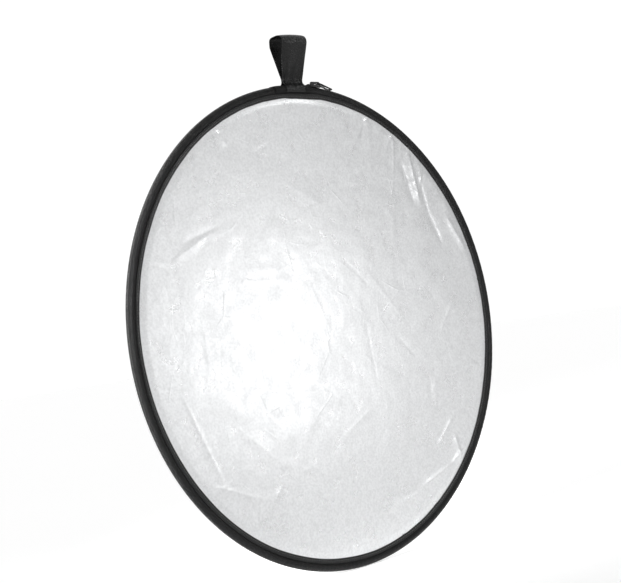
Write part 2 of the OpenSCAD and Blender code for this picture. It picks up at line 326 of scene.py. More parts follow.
def silver_cloth(name, base, bright, roughness, crumple):
    """Metallised satin: a broken net of thin creases, a finer net, soft dents and a fine grain."""
    material, tree, shader = new_material(name)
    where = node(tree, "ShaderNodeTexCoord").outputs["Object"]
    warp = node(tree, "ShaderNodeTexNoise", {}, Vector=where, Scale=14.0, Detail=1.0)
    bent = node(tree, "ShaderNodeVectorMath", {"operation": "MULTIPLY_ADD"}, i0=warp.outputs["Color"],
                i1=(0.025, 0.025, 0.025), i2=where).outputs[0]
    dents = node(tree, "ShaderNodeTexNoise", {}, Vector=bent, Scale=55.0, Detail=2.0, Roughness=0.5)
    patches = node(tree, "ShaderNodeTexNoise", {}, Vector=where, Scale=17.0, Detail=2.0)
    grain = node(tree, "ShaderNodeTexNoise", {}, Vector=where, Scale=420.0, Detail=1.0)
    islands = node(tree, "ShaderNodeTexNoise", {}, Vector=where, Scale=33.0, Detail=1.0)
    mask = spread_of(tree, patches.outputs[0], 0.5, 0.66, 0.0, 0.8)
    finer = spread_of(tree, islands.outputs[0], 0.47, 0.62, 0.0, 1.0)
    net = crease_lines(tree, bent, 27.0, 0.0013, mask)
    fine_net = crease_lines(tree, bent, 62.0, 0.0012, finer)
    lines = math_node(tree, "ADD", net, math_node(tree, "MULTIPLY", fine_net, 0.35))
    tone = spread_of(tree, grain.outputs[0], 0.3, 0.7, 0.0, 1.0)
    tree.links.new(colour_mix(tree, tone, base, bright), shader.inputs["Base Color"])
    tree.links.new(spread_of(tree, dents.outputs[0], 0.3, 0.7, roughness - 0.03, roughness + 0.05),
                   shader.inputs["Roughness"])
    shader.inputs["Metallic"].default_value = 0.92
    folds = node(tree, "ShaderNodeBump", {}, Strength=crumple, Distance=0.0006, Height=dents.outputs[0])
    creases = node(tree, "ShaderNodeBump", {}, Strength=crumple, Distance=0.00022, Height=lines,
                   Normal=folds.outputs[0])
    fibre = node(tree, "ShaderNodeBump", {}, Strength=0.12, Distance=0.0001, Height=grain.outputs[0],
                 Normal=creases.outputs[0])
    tree.links.new(fibre.outputs[0], shader.inputs["Normal"])
    return material


def metal(name, base, worn, roughness, metallic=1.0):
    """Metal or lacquered metal with fine scratches and rubbed patches."""
    patch_scale, scratch_scale = 220.0, 880.0
    material, tree, shader = new_material(name)
    where = node(tree, "ShaderNodeTexCoord").outputs["Object"]
    cloud = node(tree, "ShaderNodeTexNoise", {}, Vector=where, Scale=patch_scale, Detail=5.0)
    streak_at = node(tree, "ShaderNodeMapping", {}, Vector=where, Scale=(1.0, 6.0, 1.0))
    streak = node(tree, "ShaderNodeTexNoise", {}, Vector=streak_at.outputs[0], Scale=scratch_scale,
                  Detail=3.0)
    rubbed = spread_of(tree, cloud.outputs[0], 0.52, 0.72, 0.0, 1.0)
    tree.links.new(colour_mix(tree, rubbed, base, worn), shader.inputs["Base Color"])
    tree.links.new(spread_of(tree, streak.outputs[0], 0.3, 0.7, roughness - 0.08, roughness + 0.12),
                   shader.inputs["Roughness"])
    shader.inputs["Metallic"].default_value = metallic
    scratches = node(tree, "ShaderNodeBump", {}, Strength=0.25, Distance=0.00005, Height=streak.outputs[0])
    tree.links.new(scratches.outputs[0], shader.inputs["Normal"])
    return material


def plastic(name, base, light, roughness):
    """Moulded or drawn plastic with a faint uneven surface."""
    material, tree, shader = new_material(name)
    where = node(tree, "ShaderNodeTexCoord").outputs["Object"]
    cloud = node(tree, "ShaderNodeTexNoise", {}, Vector=where, Scale=400.0, Detail=4.0)
    tree.links.new(colour_mix(tree, cloud.outputs[0], base, light), shader.inputs["Base Color"])
    tree.links.new(spread_of(tree, cloud.outputs[0], 0.3, 0.7, roughness - 0.07, roughness + 0.07),
                   shader.inputs["Roughness"])
    bump = node(tree, "ShaderNodeBump", {}, Strength=0.3, Distance=0.00006, Height=cloud.outputs[0])
    tree.links.new(bump.outputs[0], shader.inputs["Normal"])
    return material


SILVER = silver_cloth("silver_cloth", grey(0.60, 0.02), grey(0.69, 0.02), 0.29, 0.45)
GOLD = silver_cloth("gold_cloth", (0.62, 0.42, 0.13, 1), (0.8, 0.58, 0.22, 1), 0.38, 0.5)
WHITE = woven("white_cloth", grey(0.72), grey(0.84), 0.0006, 0.72, 0.00002, sheen=0.25, space="Object")
BLACK = woven("black_cloth", grey(0.012), grey(0.03), 0.0006, 0.8, 0.00008, space="Object")
DIFFUSER = woven("diffuser_cloth", grey(0.8), grey(0.92), 0.0008, 0.6, 0.00006, sheen=0.1, space="Object")
BINDING = woven("rim_binding", grey(0.002), grey(0.008, 0.03), 0.0007, 0.42, 0.00012, sheen=0.0, gloss=0.18)
HEM = woven("hem_tape", grey(0.006), grey(0.026, 0.03), 0.0006, 0.45, 0.0001,
            diagonal=True, sheen=0.0, gloss=0.25)
COVER = woven("cover_tape", grey(0.003), grey(0.010, 0.03), 0.0006, 0.6, 0.0001,
              diagonal=True, sheen=0.0, gloss=0.15)
ZIP_TAPE = woven("zip_tape", grey(0.006), grey(0.02), 0.0008, 0.65, 0.00012, diagonal=True, sheen=0.02)
RIBBON = woven("ribbon", grey(0.004), grey(0.011, 0.03), 0.0009, 0.30, 0.00007, sheen=0.0, gloss=0.2)
INNER_TAPE = woven("diffuser_binding", grey(0.02), grey(0.05), 0.0007, 0.7, 0.0001, space="Object")
THREAD = woven("thread", grey(0.03), grey(0.09), 0.0005, 0.6, 0.00008, diagonal=True, space="Object")
WHITE_THREAD = woven("white_thread", grey(0.6), grey(0.8), 0.0005, 0.6, 0.00008,
                     diagonal=True, space="Object")
COIL = plastic("zip_coil", grey(0.02), grey(0.055), 0.4)
SHRINK = plastic("shrink_tube", grey(0.012), grey(0.03), 0.6)
STEEL = metal("spring_steel", grey(0.45), grey(0.62), 0.3)
FERRULE = metal("ferrule_steel", grey(0.32), grey(0.55), 0.38)
LACQUER = metal("zip_metal", grey(0.010), grey(0.05), 0.32, metallic=0.3)

# The CAD nodes that stay as they are, with their materials
CAD_LOOKS = {
    "spring_hoop": STEEL, "hoop_ferrule": FERRULE, "hoop_shrink_tube": SHRINK,
    "diffuser_fabric": DIFFUSER, "diffuser_sleeve": INNER_TAPE, "diffuser_stitching": WHITE_THREAD,
    "front_lining": GOLD, "back_lining": BLACK,
    "zip_top_stop": LACQUER, "zip_bottom_stop": LACQUER,
}


def dress(thing, material):
    """Gives an object one material."""
    thing.data.materials.clear()
    thing.data.materials.append(material)


def finish_piece(piece, body, slot, material, *nodes):
    """Gives a piece its material and its CAD body, and hides the CAD nodes that it stands for. slot is not
    used.
    """
    dress(piece, material)
    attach(piece, body)
    if nodes:
        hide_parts(*nodes)


# ---------------------------------------------------------------- face fabrics

# Creases of the front face: start and end (x, z) in mm, half-width and height in mm. Most ends were read off
# the photo by eye, put into mm by a scratch script, and then moved by hand by a few mm
FRONT_CREASES = [
    ((157, 182), (167, 138), 5, -0.7), ((172, 190), (178, 138), 4, 0.8), ((184, 162), (190, 126), 4, -0.6),
    ((172, 203), (152, 178), 3, -0.6), ((190, 188), (184, 150), 3, 0.5), ((190, 122), (206, 82), 6, -0.5),
    ((224, 112), (246, 74), 6, 0.7), ((55, -12), (59, -68), 2.5, -0.1), ((104, -26), (127, -50), 2.5, -0.14),
    ((180, -134), (144, -166), 3, 0.5), ((178, -160), (184, -192), 5, 0.9),
    ((168, -188), (196, -172), 5, 0.8), ((148, -88), (144, -114), 4, -0.15),
    ((157, -88), (153, -115), 3, 0.15), ((112, -207), (166, -190), 6, 0.8), ((58, -222), (104, -214), 5, 0.5),
    ((180, -28), (212, 10), 4, 0.2), ((-240, 20), (-136, -4), 3, -0.12), ((-221, -60), (-188, -147), 3, 0.2),
    ((-202, -150), (-138, -176), 3, 0.2), ((-144, -199), (-112, -170), 5, 0.5),
    ((-24, -107), (-64, -78), 3, 0.08), ((36, 71), (75, 34), 3, -0.08), ((76, 48), (112, 2), 3, 0.08),
    ((-24, 129), (8, 140), 3, 0.08), ((-78, 203), (-54, 212), 4, -0.25), ((-147, 122), (-188, 110), 5, -0.25),
    ((-207, 92), (-161, 115), 5, 0.2), ((64, 166), (94, 180), 4, -0.2), ((-6, -128), (45, -103), 3, 0.1),
    ((-156, -97), (-93, -153), 4, 0.1), ((-12, -201), (-53, -246), 5, 0.25),
    ((-128, 228), (-116, 214), 6, 0.6), ((-26, -258), (12, -252), 5, 0.5), ((34, 262), (80, 252), 5, -0.6),
]
# Where the pleats lie close together on each face, in degrees anticlockwise of +X
FRONT_BUNCH = (28, 68)
BACK_BUNCH = (200, 235)
# How many pleats and faint random creases a face has
PLEATS = 150
FAINT_CREASES = 80
# A face's cloth: its thickness, how far it stands off its seam, its crown, and its lowest and highest relief
CLOTH_T = 0.35
CLOTH_LIFT = 0.6
CROWN = 1.2
RELIEF_RANGE = (-0.45, 1.6)


def crease(x, z, a, b, half, height):
    """A fold from a to b that dies away at both ends, sharper on one flank."""
    a, b = np.array(a, float), np.array(b, float)
    along = b - a
    length = np.hypot(*along)
    t = ((x - a[0]) * along[0] + (z - a[1]) * along[1]) / length**2
    off = ((x - a[0]) * along[1] - (z - a[1]) * along[0]) / length
    flank = np.where(off > 0, half, half * 0.55)
    ends = smoothstep(-0.25, 0.25, t) * smoothstep(1.25, 0.75, t)
    return height * ends * np.exp(-np.abs(off / flank) ** 1.4)


def radial_pleats(x, z, draw, count, bunch):
    """Short folds that run inwards from the hem. Every third is in the bunch, and is longer and higher."""
    radius, angle = np.hypot(x, z), np.degrees(np.arctan2(z, x)) % 360
    total = np.zeros_like(x)
    for i in range(count):
        bunched = i % 3 == 0
        at = draw.uniform(*bunch) if bunched else draw.uniform(0, 360)
        reach = draw.uniform(14, 60) * (1.25 if bunched else 1)
        height = draw.uniform(-0.4, 0.45) * (1.3 if bunched else 0.65)
        half = draw.uniform(0.35, 1.1)
        lean = draw.uniform(-0.12, 0.12)
        inwards = HEM_R - radius
        away = (angle - at - lean * inwards + 180) % 360 - 180
        total += height * np.exp(-(away / half) ** 2) * np.exp(-np.clip(inwards, 0, None) / reach * 1.6)
    return total


def panel_relief(x, z, seed, creases, bunch):
    """Height of a face fabric above its flat lie, in mm."""
    draw = np.random.RandomState(seed)
    total = radial_pleats(x, z, draw, PLEATS, bunch)
    for a, b, half, height in creases:
        total += crease(x, z, a, b, half, height)
    for _ in range(FAINT_CREASES):
        spin, place, length = draw.uniform(0, TAU), draw.uniform(0, 1) ** 0.5 * 235, draw.uniform(20, 90)
        turn = draw.uniform(0, TAU)
        a = place * np.array([math.cos(spin), math.sin(spin)])
        b = a + length * np.array([math.cos(turn), math.sin(turn)])
        total += crease(x, z, a, b, draw.uniform(2.2, 5), draw.uniform(-0.07, 0.08))
    total += 0.14 * lattice_noise(x, z, 45, seed + 1) + 0.05 * lattice_noise(x, z, 19, seed + 2)
    total += 0.015 * lattice_noise(x, z, 8, seed + 3)
    return total


def disc_grid(count):
    """Points of a square grid pressed into a disc of radius 1, with its rim on the circle."""
    line = np.linspace(-1, 1, count)
    a, b = np.meshgrid(line, line, indexing="ij")
    wide = np.abs(a) >= np.abs(b)
    radius = np.where(wide, a, b)
    with np.errstate(divide="ignore", invalid="ignore"):
        turn = np.where(wide, math.pi / 4 * b / a, math.pi / 2 - math.pi / 4 * a / b)
    turn = np.nan_to_num(turn)
    return radius * np.cos(turn), radius * np.sin(turn)


def face_panel(name, facing, seed, creases, bunch):
    """One face of the disc as a cloth of real thickness. facing is 1 for the front and -1 for the back."""
    count = 400 if facing > 0 else 260
    cut = PANEL_R - 0.2
    x, z = disc_grid(count)
    x, z = x * cut, z * cut
    radius = np.hypot(x, z)
    free = smoothstep(HEM_EDGE + 0.3, HEM_EDGE - 9, radius)
    relief = np.clip(panel_relief(x, z, seed, creases, bunch), *RELIEF_RANGE)
    dome = CROWN * (1 - (radius / HEM_R) ** 2).clip(0)
    front = FACE_Y - 0.02 + free * (CLOTH_LIFT + dome + relief)
    outer = np.stack([x, -facing * front, z], -1).reshape(-1, 3)
    inner = np.stack([x, -facing * (front - CLOTH_T), z], -1).reshape(-1, 3)
    top = np.array(grid_faces(count, count))
    under = top[:, ::-1] + count * count
    border = np.concatenate([np.arange(count), np.arange(1, count) * count + count - 1,
                             (count - 1) * count + np.arange(count - 2, -1, -1),
                             np.arange(count - 2, 0, -1) * count])
    after = np.roll(border, -1)
    wall = np.stack([after, border, border + count * count, after + count * count], -1)
    points = np.concatenate([outer, inner])
    return mesh_object(name, points, np.concatenate([top, under, wall]).tolist(), points[:, [0, 2]] * MM)


def make_faces():
    """The two outer faces, and the sheets between them that stay as CAD nodes."""
    front = face_panel("silver_face", 1, 11, FRONT_CREASES, FRONT_BUNCH)
    finish_piece(front, "disc", "silver_cloth", SILVER, "front_panel")
    back = face_panel("white_back", -1, 29, [], BACK_BUNCH)
    finish_piece(back, "disc", "white_cloth", WHITE, "back_panel")


# ---------------------------------------------------------------- rim

def hem_inner(angle):
    """Radius of the hem's inner edge: round, but drawn straight where the loop is sewn on."""
    away = np.clip(np.abs((angle - FLAT_AT + math.pi) % TAU - math.pi), 0, 0.5)
    chord = FLAT_Z / np.cos(away)
    return np.minimum(HEM_EDGE, chord) + wobble(angle, 5, (3, 7, 19, 53), (0.25, 0.2, 0.1, 0.08))


def hem_height(angle):
    """How far the hem stands in front of its flat lie: it dips at each stitch."""
    pucker = 0.09 * np.cos(angle * stitch_count())
    return pucker + wobble(angle, 8, (11, 37), (0.06, 0.05))


def stitch_count():
    """How many stitches go round a hem."""
    return int(TAU * (HEM_R + STITCH_IN) / STITCH_PITCH)


def hem_section(angle):
    """The front hem: a flat tape from the groove to a rolled inner edge."""
    inner = hem_inner(angle)[:, None]
    outer = TUBE_C - math.sqrt((TUBE_R + GROOVE) ** 2 - HEM_Y**2) + 0.25
    low, high, edge = FACE_Y + 0.02, HEM_Y, 0.32
    turn = np.radians(np.linspace(180, 90, 5))
    roll_r = inner + edge + edge * np.cos(turn)
    roll_y = high - edge + edge * np.sin(turn)
    spots = np.linspace(0.25, 1, 6)
    flat_r = inner + edge + (outer - inner - edge) * spots
    flat_y = np.broadcast_to(high + 0.10 * np.sin(spots * math.pi), flat_r.shape)
    radius = np.concatenate([inner + 0.05, roll_r, flat_r, np.full_like(inner, outer)], 1)
    front = np.concatenate([np.full_like(inner, low), np.broadcast_to(roll_y, roll_r.shape), flat_y,
                            np.full_like(inner, low)], 1)
    lift = hem_height(angle)[:, None] * (front > low + 0.1)
    return radius, front + lift


def shell_section(outer, inner, turn):
    """A closed section from outer and inner radii about the middle of the rim's tube, at the angles turn."""
    radius = np.concatenate([TUBE_C + outer * np.cos(turn), (TUBE_C + inner * np.cos(turn))[:, ::-1]], 1)
    front = np.concatenate([outer * np.sin(turn), (inner * np.sin(turn))[:, ::-1]], 1)
    return radius, front


def binding_section(angle):
    """The outer half-tube: it starts beside the zip, goes over the front and tucks down at the groove."""
    start, stop = 26.0, 180 - math.degrees(math.asin(FACE_Y / TUBE_R)) - 0.5
    turn = np.radians(np.linspace(start, stop, 22))[None, :]
    slow = wobble(angle, 21, (5, 13), (0.10, 0.07))[:, None]
    gather = wobble(angle, 22, (131, 197, 263), (0.05, 0.05, 0.04))[:, None]
    fullness = np.sin((turn - turn[0, 0]) / (turn[0, -1] - turn[0, 0]) * math.pi)
    outer = TUBE_R + (slow + gather) * fullness + 0.12 * np.exp(-((turn - turn[0, 0]) / 0.09) ** 2)
    inner = np.broadcast_to(TUBE_R - BINDING_T, outer.shape)
    radius, front = shell_section(outer, inner, turn)
    return radius, np.maximum(front, np.where(radius < TUBE_C, FACE_Y + 0.02, 0))


def on_side(section, facing):
    """The section itself for the front of the disc, and its mirror image for the back."""
    def behind(angle):
        radius, front = section(angle)
        return radius[:, ::-1], -front[:, ::-1]

    return section if facing > 0 else behind


def capsules(name, centres, directions, normals, length, radius, sag=0.0):
    """Many short threads in one mesh, each bent down by sag at its ends, into the cloth."""
    rings, around = 7, 6
    t = np.linspace(-1, 1, rings)
    thick = radius * np.sqrt(np.clip(1 - np.abs(t) ** 3, 0.02, 1))
    turn = np.arange(around) * TAU / around
    sides = np.cross(directions, normals)
    spine = (centres[:, None] + directions[:, None] * (t * length / 2)[None, :, None]
             - normals[:, None] * (sag * t**4)[None, :, None])
    ring = (normals[:, None, None] * np.cos(turn)[None, None, :, None]
            + sides[:, None, None] * np.sin(turn)[None, None, :, None])
    points = spine[:, :, None] + ring * thick[None, :, None, None]
    return mesh_object(name, points.reshape(-1, 3), tube_faces(rings, around, len(centres)))


def hem_stitches(name, facing):
    """The row of stitches round a hem, each in a dip of the tape."""
    count = stitch_count()
    angle = (np.arange(count) + 0.5) * TAU / count
    radius = hem_inner(angle) + STITCH_IN
    front = HEM_Y + 0.14 + hem_height(angle)
    centres = ring_points(radius, facing * front, angle)
    along = np.stack([-np.sin(angle), np.zeros(count), np.cos(angle)], -1)
    normals = np.tile([0.0, -facing, 0.0], (count, 1))
    return capsules(name, centres, along, normals, STITCH_PITCH * 0.82, 0.24, sag=0.28)


def make_rim():
    """The hem, rim cover and stitches of both sides."""
    for facing, word in ((1, "front"), (-1, "back")):
        hem = ring_mesh(word + "_hem_tape", on_side(hem_section, facing), 2200)
        finish_piece(hem, "disc", "hem_tape", HEM, word + "_hem")
        cover = ring_mesh(word + "_rim_cover", on_side(binding_section, facing), 2000)
        finish_piece(cover, "disc", "rim_binding", BINDING, word + "_binding")
        stitches = hem_stitches(word + "_hem_stitches", facing)
        finish_piece(stitches, "disc", "thread", THREAD, word + "_stitching")


# ---------------------------------------------------------------- zip

def zip_tape_section(angle):
    """The zip's front tape: a thin ribbed shell inside the rim cover."""
    turn = np.radians(np.linspace(8, 75, 12))[None, :]
    ridge = 0.04 * np.cos(turn * 40)
    outer = TUBE_R - BINDING_T - 0.08 + ridge + 0 * angle[:, None]
    return shell_section(outer, outer - 0.45, turn)


def coil_row(name, facing):
    """One coil of the zip: a bent loop of nylon for each tooth, sewn to the tape at its outer end."""
    span = math.radians(360 - 2 * ZIP_FREE)
    count = int(span * DISC_R / COIL_PITCH)
    phase = 0.0 if facing > 0 else 0.5
    angle = math.radians(90 + ZIP_FREE) + (np.arange(count) + 0.5 + phase) * span / (count + 1)
    # One turn of the coil: its reach from the middle of the zip, its height above the tape, and its radius
    reach = np.array([1.95, 1.75, 1.2, 0.62, 0.32, 0.34])
    rise = np.array([-0.1, 0.42, 0.62, 0.62, 0.38, 0.0])
    thick = np.array([0.26, 0.30, 0.30, 0.34, 0.36, 0.2])
    around = 6
    turn = np.arange(around) * TAU / around
    out = np.stack([np.gradient(reach), np.gradient(rise)], -1)
    out /= np.linalg.norm(out, axis=1)[:, None]
    across = reach[:, None] - out[:, 1:2] * np.cos(turn) * thick[:, None]
    height = rise[:, None] + out[:, 0:1] * np.cos(turn) * thick[:, None]
    shift = np.sin(turn) * thick[:, None] + np.zeros_like(across)
    base = TUBE_R - BINDING_T + 0.02
    radius = TUBE_C + np.sqrt(base**2 - np.clip(across, 0, 3) ** 2) + height + 0.1
    radius = np.minimum(radius, DISC_R - 0.02)
    bent = angle[:, None, None] + shift[None] / DISC_R
    points = ring_points(radius[None], facing * across[None], bent)
    return mesh_object(name, points.reshape(-1, 3), tube_faces(len(reach), around, count))


def make_zip():
    """The tape and coil of both sides of the zip."""
    for facing, word in ((1, "front"), (-1, "back")):
        section = on_side(zip_tape_section, facing)
        tape = ring_mesh("zip_band_" + word, section, 720, 90 + ZIP_FREE, 450 - ZIP_FREE)
        finish_piece(tape, "disc", "zip_tape", ZIP_TAPE, "zip_tape_" + word)
        finish_piece(coil_row("zip_teeth_" + word, facing), "disc", "zip_coil", COIL, "zip_coil_" + word)


# ---------------------------------------------------------------- slider and pull

def placed_on_rim(points, clockwise_degrees):
    """Turns points drawn at the top of the disc clockwise about its axis."""
    turn = math.radians(clockwise_degrees)
    x, y, z = points[:, 0], points[:, 1], points[:, 2]
    cos, sin = math.cos(turn), math.sin(turn)
    return np.stack([x * cos + z * sin, y, z * cos - x * sin], -1)


def plate(loops, half, edge):
    """Points and faces of a flat plate with rounded edges. The first loop is its outline, the rest holes."""
    data = bpy.data.curves.new("plate", "CURVE")
    data.dimensions, data.fill_mode = "2D", "BOTH"
    for loop in loops:
        spline = data.splines.new("POLY")
        spline.points.add(len(loop) - 1)
        for point, (x, y) in zip(spline.points, loop):
            point.co = (x, y, 0, 1)
        spline.use_cyclic_u = True
    data.extrude, data.bevel_depth, data.bevel_resolution, data.offset = half - edge, edge, 2, -edge
    curve = bpy.data.objects.new("plate", data)
    bpy.context.scene.collection.objects.link(curve)
    mesh = bpy.data.meshes.new_from_object(curve.evaluated_get(bpy.context.evaluated_depsgraph_get()))
    work = bmesh.new()
    work.from_mesh(mesh)
    bmesh.ops.remove_doubles(work, verts=work.verts, dist=1e-4)
    points = np.array([v.co for v in work.verts])
    faces = [[v.index for v in face.verts] for face in work.faces]
    work.free()
    bpy.data.objects.remove(curve)
    bpy.data.curves.remove(data)
    bpy.data.meshes.remove(mesh)
    return points, faces


def joined(parts):
    """The points and faces of several parts as one."""
    points, faces = [], []
    for part_points, part_faces in parts:
        faces += [[v + len(points) for v in face] for face in part_faces]
        points += [tuple(point) for point in part_points]
    return np.array(points, float), faces


def rounded(corners, radius, steps=5):
    """A loop with each corner turned into a small arc."""
    corners = np.array(corners, float)
    loop = []
    for i, here in enumerate(corners):
        before, after = corners[i - 1] - here, corners[(i + 1) % len(corners)] - here
        reach = min(radius, 0.48 * np.hypot(*before), 0.48 * np.hypot(*after))
        a = here + before / np.hypot(*before) * reach
        b = here + after / np.hypot(*after) * reach
        for t in np.linspace(0, 1, steps):
            loop.append((1 - t) ** 2 * a + 2 * t * (1 - t) * here + t * t * b)
    return np.array(loop)


def slider_outline(length, wide, narrow, steps=18):
    """A shield: round shoulders at the wide end, sides that draw in, and a blunt tail."""
    half = []
    for i in range(steps + 1):
        t = i / steps
        sides = narrow / 2 + (wide - narrow) / 2 * smoothstep(0.1, 0.65, t)
        shoulder = math.sqrt(max(0.0, 1 - max(0.0, (t - 0.74) / 0.26) ** 2.6))
        tail = math.sqrt(max(0.0, 1 - max(0.0, (0.12 - t) / 0.12) ** 2))
        half.append((-length / 2 + t * length, float(sides) * (0.3 + 0.7 * shoulder) * (0.6 + 0.4 * tail)))
    return np.array(half + [(x, -y) for x, y in half[::-1]])


def rod_along_y(x, z, radius, half, around=20):
    """A rod with rounded ends, on a line along Y."""
    turn = np.arange(around) * TAU / around
    ends = [(half, 0.02), (half, 0.6), (half - 0.15 * radius, 0.9), (half - 0.4 * radius, 1.0)]
    stations = [(-y, r) for y, r in ends] + [(y, r) for y, r in ends[::-1]]
    cos, sin = radius * np.cos(turn), radius * np.sin(turn)
    rings = [np.column_stack([x + r * cos, np.full(around, y), z + r * sin]) for y, r in stations]
    return np.concatenate(rings), tube_faces(len(rings), around)


def make_slider():
    """The slider: a body and crown, two side walls, the bridge for the pull, and a key between the coils."""
    low, top = SLIDER_LOW, SLIDER_TOP
    middle, half = (low + top) / 2, (top - low) / 2
    body, body_faces = plate([slider_outline(15.6, 8.5, 6.8)], half, 0.35)
    nose_lift = 1.5 * smoothstep(-5.2, -7.9, body[:, 0])
    body[:, 2] += middle
    body[:, 2] += nose_lift
    crown, crown_faces = plate([slider_outline(12.4, 6.2, 4.4)], 0.3, 0.2)
    crown[:, 2] += top + 0.02
    parts = [(body, body_faces), (crown, crown_faces)]
    wall_half = [(-6.6, 3.4), (2.4, 4.2), (5.4, 3.6), (5.4, 2.8), (2.4, 3.3), (-6.6, 2.5)]
    for s in (-1, 1):
        loop = [(x, s * y) for x, y in wall_half]
        wall, wall_faces = plate([rounded(loop, 0.8)], 0.65, 0.25)
        wall[:, 2] += low - 0.25
        parts.append((wall, wall_faces))
    arch = rounded(BRIDGE_OUTSIDE + BRIDGE_INSIDE[::-1], 1.1, steps=6)
    bridge, bridge_faces = plate([arch], 1.1, 0.3)
    bridge = np.column_stack([bridge[:, 0], bridge[:, 2], bridge[:, 1] + top])
    parts.append((bridge, bridge_faces))
    key, key_faces = plate([rounded([(-2, -0.15), (2, -0.15), (2, 0.15), (-2, 0.15)], 0.1)], 1.4, 0.05)
    key[:, 2] += low - 1.35
    parts.append((key, key_faces))
    points, faces = joined(parts)
    # The slider is bent to the rim
    points[:, 2] -= points[:, 0] ** 2 / (2 * DISC_R)
    slider = mesh_object("zip_slider", placed_on_rim(points, SLIDER_AT), faces)
    finish_piece(slider, "slider", "zip_metal", LACQUER, "slider_body")


def make_pull():
    """The pull: a slotted blade with a raised border, and a crossbar under the slider's bridge."""
    long, half = 21.5, 3.5
    outline = rounded([(-0.35, -3.2), (3.0, -3.2), (3.7, -half), (long, -half), (long, half), (3.7, half),
                       (3.0, 3.2), (-0.35, 3.2)], 1.4)
    hole = rounded([(0.45, -1.6), (3.3, -1.6), (3.3, 1.6), (0.45, 1.6)], 0.5)
    slot = rounded([(10.9, -1.5), (18.9, -1.5), (18.9, 1.5), (10.9, 1.5)], 1.5, steps=9)
    blade, blade_faces = plate([outline, hole, slot], 0.65, 0.25)
    rim_outside = rounded([(4.6, -2.7), (20.7, -2.7), (20.7, 2.7), (4.6, 2.7)], 1.4)
    rim_inside = rounded([(5.3, -2.05), (20.0, -2.05), (20.0, 2.05), (5.3, 2.05)], 1.2)
    parts = [(blade, blade_faces), rod_along_y(0, 0, 0.75, 3.2)]
    for s in (-1, 1):
        ridge, ridge_faces = plate([rim_outside, rim_inside], 0.14, 0.1)
        ridge[:, 2] += s * 0.66
        parts.append((ridge, ridge_faces))
    points, faces = joined(parts)
    x, z = points[:, 0].copy(), points[:, 2].copy()
    points[:, 0] = x * math.cos(PULL_TILT) + z * math.sin(PULL_TILT)
    points[:, 2] = z * math.cos(PULL_TILT) - x * math.sin(PULL_TILT)
    pull = mesh_object("zip_pull", placed_on_rim(points, SLIDER_AT) + PULL_PIN, faces)
    finish_piece(pull, "pull", "zip_metal", LACQUER, "pull_tab")


# ---------------------------------------------------------------- hanging loop

def ribbon_path():
    """Centreline of the ribbon in the YZ plane, and the distance along it.

    It goes up the front leg, over the roll, which is rounder in front, and down the back leg.
    """
    roll = ROLL_R - RIBBON_T / 2
    crest = roll - 2.5
    lean = math.asin(roll / (ROLL_Z - ROOT_Z))
    leg_end = np.array([-roll * math.cos(lean), ROLL_Z - roll * math.sin(lean)])
    tail = np.radians(np.linspace(122, 26, 14))
    half = [(-TAIL_R * math.sin(a), TUBE_C + TAIL_R * math.cos(a)) for a in tail]
    half += [(-1.6, ROOT_Z - 1.6), (-0.95, ROOT_Z + 0.4), (-0.8, ROOT_Z + 2.2), (-0.9, ROOT_Z + 4.2)]
    start = np.array([-2.0, ROOT_Z + 8])
    half += [tuple(start + (leg_end - start) * t) for t in np.linspace(0, 1, 14)]
    sides = []
    # The roll is round where the power is 1, and squarer below that
    for power in (1.0, 0.4):
        turn = np.linspace(math.pi + lean, math.pi / 2, 24)[1:]
        arc = [(-roll * abs(math.cos(a)) ** power,
                ROLL_Z + (roll * math.sin(a) if a > math.pi else crest * math.sin(a) ** power)) for a in turn]
        sides.append(np.array(half + arc))
    whole = np.concatenate([sides[0], sides[1][-2::-1] * [-1, 1]])
    step = np.concatenate([[0], np.cumsum(np.hypot(*np.diff(whole, axis=0).T))])
    even = np.linspace(0, step[-1], 300)
    smooth = np.stack([np.interp(even, step, whole[:, i]) for i in (0, 1)], -1)
    for _ in range(6):
        smooth[1:-1] = (smooth[:-2] + 2 * smooth[1:-1] + smooth[2:]) / 4
    return smooth, even


def ribbon_surface(u, path, index):
    """Points and normals of the ribbon's middle surface, at u from -1 to 1 across it and at path rows."""
    ahead = np.gradient(path, axis=0)
    ahead /= np.linalg.norm(ahead, axis=1)[:, None]
    normal = np.stack([-ahead[:, 1], ahead[:, 0]], -1)[index]
    y, z = path[index, 0][:, None], path[index, 1][:, None]
    above = z - ROOT_Z
    width = STRAP_ROOT_W / 2 + (STRAP_W - STRAP_ROOT_W) / 2 * np.clip((above - 1) / 42, 0, 1) ** 0.9
    width = width - 0.8 * smoothstep(-2, -9, above)
    x = u[None, :] * width + above.clip(0) * RIBBON_LEAN + RIBBON_SHIFT
    gathered = smoothstep(30, 3, above)
    front_leg = np.where(y < 0, 1.0, 0.75)
    fold = 1.1 * np.cos(u * 9.5 + 0.7) + 0.55 * np.cos(u * 17 - 1.1)
    fold = fold[None, :] * gathered * front_leg * smoothstep(-9, -1, above)
    cup = 0.9 * (u[None, :] ** 2 - 0.3) * smoothstep(6, 30, above)
    crush = 0.5 * np.sin(u * 4.4 + 0.5)[None, :] * smoothstep(10, 28, above) * smoothstep(50, 30, above)
    out = -cup - crush * np.where(y < 0, 1, -0.6)
    skew = 0.035 * (0.74 * x - 0.68 * y) * smoothstep(18, 45, above)
    # Both legs fold the same way in Y, so that they lie together at the root
    points = np.stack([x, y + fold + normal[:, 0:1] * out, z + skew + normal[:, 1:2] * out], -1)
    normals = np.stack([0 * normal[:, 0], normal[:, 0], normal[:, 1]], -1)
    return points, np.broadcast_to(normals[:, None], points.shape)


